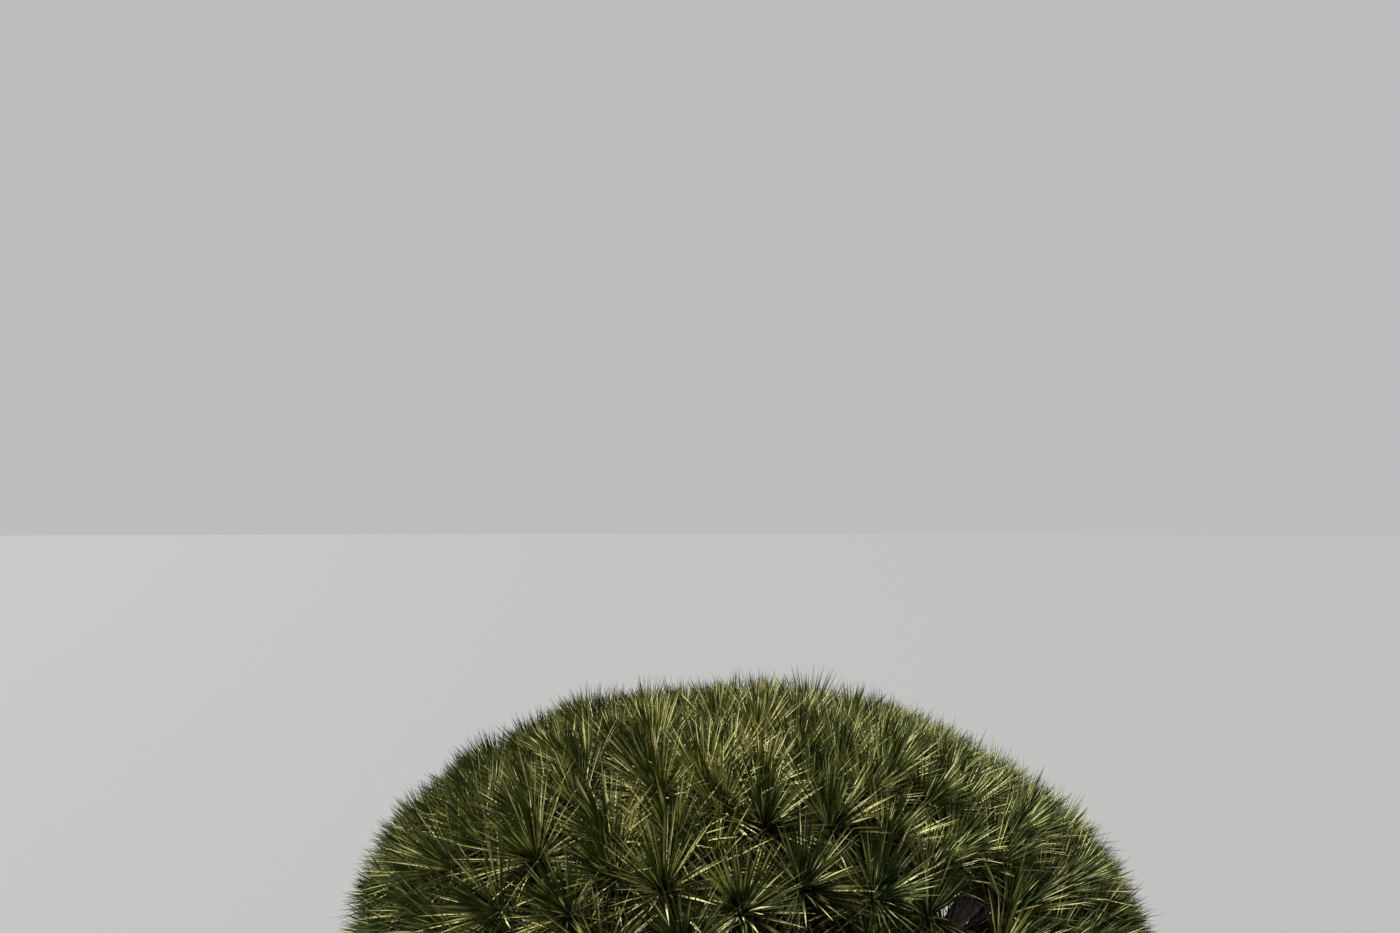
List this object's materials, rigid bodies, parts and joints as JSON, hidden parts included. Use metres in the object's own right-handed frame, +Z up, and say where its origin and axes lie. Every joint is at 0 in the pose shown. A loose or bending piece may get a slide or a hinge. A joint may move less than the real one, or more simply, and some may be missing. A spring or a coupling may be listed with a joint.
{
  "type": "dragon blood tree",
  "caption": "Umbrella-shaped dragon blood tree with a stout trunk, boughs that fork upwards and a wide shallow dome of stiff sword-leaf rosettes.",
  "frame": {"origin": "middle of the flat cut under the trunk, at ground level", "axes": "+Z up along the trunk; the picture looks along +Y, so -Y is the side that it shows and +X is on its right"},
  "size_m": [5.2261, 4.6667, 4.6871],
  "materials": {
    "trunk_bark": "rough grey bark with upright cracks and pale weathered ridges",
    "branch_bark": "smoother grey-brown bark with pale ring scars",
    "foliage": "stiff sword-shaped leaves, olive to yellow-green with dark bluish young leaves"
  },
  "bodies": {
    "root": {"bough_1": "branch_bark", "bough_2": "branch_bark", "bough_3": "branch_bark", "bough_4": "branch_bark", "bough_5": "branch_bark", "bough_6": "branch_bark", "bough_7": "branch_bark", "foliage_inner_1": "foliage", "foliage_inner_2": "foliage", "foliage_inner_3": "foliage", "foliage_inner_4": "foliage", "foliage_inner_5": "foliage", "foliage_inner_6": "foliage", "foliage_inner_7": "foliage", "foliage_rim_1_left": "foliage", "foliage_rim_1_right": "foliage", "foliage_rim_2_left": "foliage", "foliage_rim_2_right": "foliage", "foliage_rim_3_left": "foliage", "foliage_rim_3_right": "foliage", "foliage_rim_4_left": "foliage", "foliage_rim_4_right": "foliage", "foliage_rim_5_left": "foliage", "foliage_rim_5_right": "foliage", "foliage_rim_6_left": "foliage", "foliage_rim_6_right": "foliage", "foliage_rim_7_left": "foliage", "foliage_rim_7_right": "foliage", "foliage_top": "foliage", "limb_inner_1": "branch_bark", "limb_inner_2": "branch_bark", "limb_inner_3": "branch_bark", "limb_inner_4": "branch_bark", "limb_inner_5": "branch_bark", "limb_inner_6": "branch_bark", "limb_inner_7": "branch_bark", "limb_rim_1_left": "branch_bark", "limb_rim_1_right": "branch_bark", "limb_rim_2_left": "branch_bark", "limb_rim_2_right": "branch_bark", "limb_rim_3_left": "branch_bark", "limb_rim_3_right": "branch_bark", "limb_rim_4_left": "branch_bark", "limb_rim_4_right": "branch_bark", "limb_rim_5_left": "branch_bark", "limb_rim_5_right": "branch_bark", "limb_rim_6_left": "branch_bark", "limb_rim_6_right": "branch_bark", "limb_rim_7_left": "branch_bark", "limb_rim_7_right": "branch_bark", "limb_top": "branch_bark", "trunk": "trunk_bark"}
  },
  "joints": []
}
